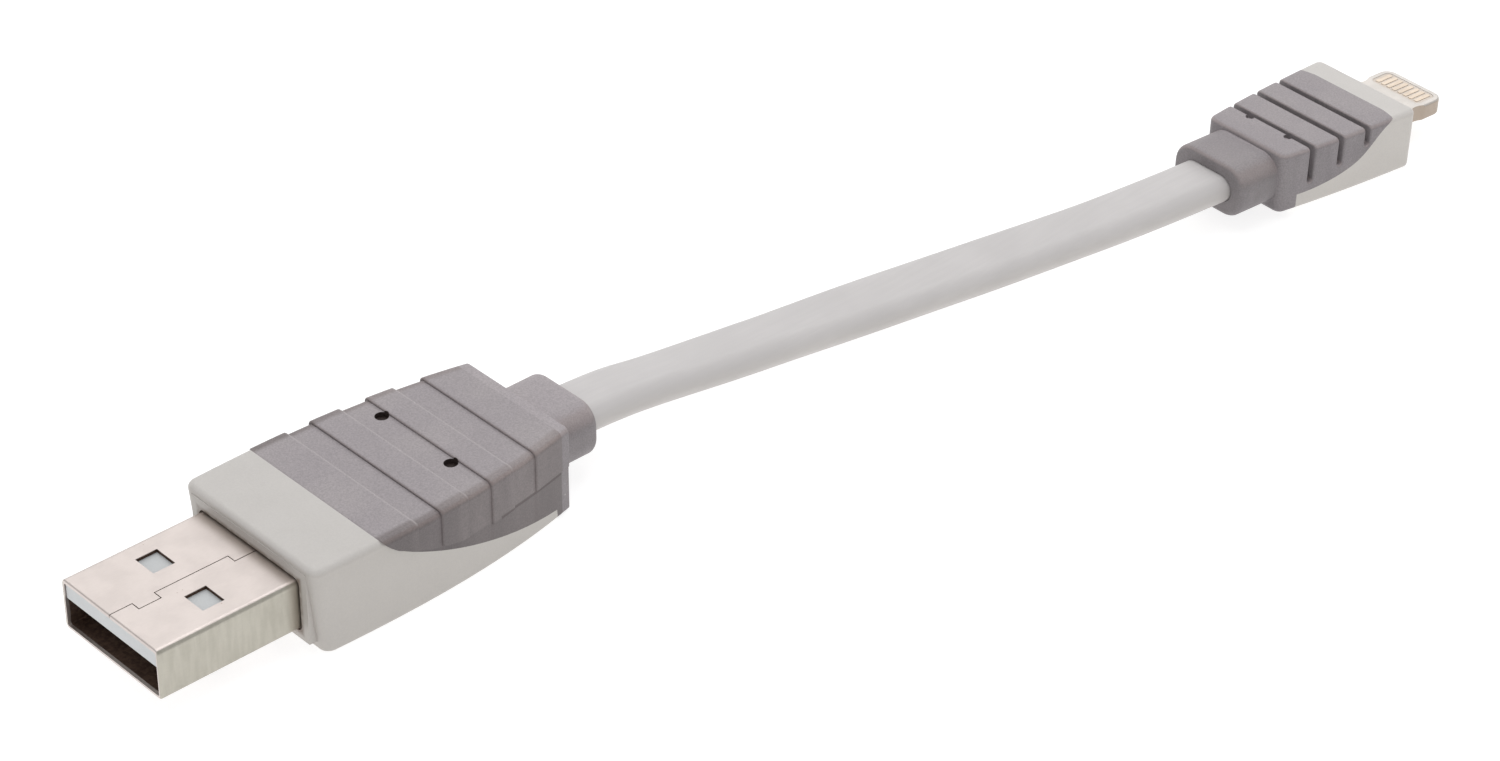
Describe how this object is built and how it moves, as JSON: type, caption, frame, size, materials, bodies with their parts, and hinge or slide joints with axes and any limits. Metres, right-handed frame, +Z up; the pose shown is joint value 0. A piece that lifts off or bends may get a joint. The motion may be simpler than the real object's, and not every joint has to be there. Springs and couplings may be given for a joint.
{
  "type": "charging cable",
  "caption": "Short flat charging cable with a USB type A plug at one end and a reversible tab plug at the other, both with ribbed grips.",
  "frame": {"origin": "on the underside of the USB plug's housing, 12.9 mm behind its front face, on the surface that the cable lies on", "axes": "+Z up; +X along the USB plug's axis from its shell towards the cord, the long way of the cable; +Y to the left of that"},
  "size_m": [0.1338, 0.0249, 0.0077],
  "materials": {
    "shell_steel": "satin nickel-plated steel",
    "tongue_plastic": "matte",
    "contact_gold": "gold plated",
    "solder": "bright",
    "inner_mould_plastic": "matte, translucent in reality",
    "clamp_brass": "dull",
    "housing_white": "satin, fine grain",
    "grip_grey": "matte, fine moulded grain",
    "jacket_white": "smooth matte",
    "wire_red": "smooth",
    "wire_white": "smooth",
    "wire_green": "smooth",
    "wire_black": "smooth",
    "copper": "bare copper",
    "tab_steel": "satin",
    "carrier_plastic": "matte",
    "board_green": "solder resist",
    "chip_black": "matte",
    "component_body": "ceramic",
    "can_steel": "satin"
  },
  "bodies": {
    "root": {"cable_core_black": "copper", "cable_core_green": "copper", "cable_core_red": "copper", "cable_core_white": "copper", "cable_jacket": "jacket_white", "cable_wire_black": "wire_black", "cable_wire_green": "wire_green", "cable_wire_red": "wire_red", "cable_wire_white": "wire_white", "tip_cable_clamp": "clamp_brass", "tip_capacitor_input": "component_body", "tip_capacitor_output": "component_body", "tip_circuit_board": "board_green", "tip_contact_bottom_1": "contact_gold", "tip_contact_bottom_2": "contact_gold", "tip_contact_bottom_3": "contact_gold", "tip_contact_bottom_4": "contact_gold", "tip_contact_bottom_5": "contact_gold", "tip_contact_bottom_6": "contact_gold", "tip_contact_bottom_7": "contact_gold", "tip_contact_bottom_8": "contact_gold", "tip_contact_carrier": "carrier_plastic", "tip_contact_top_1": "contact_gold", "tip_contact_top_2": "contact_gold", "tip_contact_top_3": "contact_gold", "tip_contact_top_4": "contact_gold", "tip_contact_top_5": "contact_gold", "tip_contact_top_6": "contact_gold", "tip_contact_top_7": "contact_gold", "tip_contact_top_8": "contact_gold", "tip_control_chip": "chip_black", "tip_frame": "tab_steel", "tip_grip": "grip_grey", "tip_housing": "housing_white", "tip_inner_mould": "inner_mould_plastic", "tip_resistor": "component_body", "tip_shield_can": "can_steel", "tip_solder_beads": "solder", "usb_cable_clamp": "clamp_brass", "usb_contact_data_minus": "contact_gold", "usb_contact_data_plus": "contact_gold", "usb_contact_ground": "contact_gold", "usb_contact_power": "contact_gold", "usb_grip": "grip_grey", "usb_housing": "housing_white", "usb_inner_mould": "inner_mould_plastic", "usb_insulator": "tongue_plastic", "usb_shell": "shell_steel", "usb_solder_beads": "solder"}
  },
  "joints": []
}
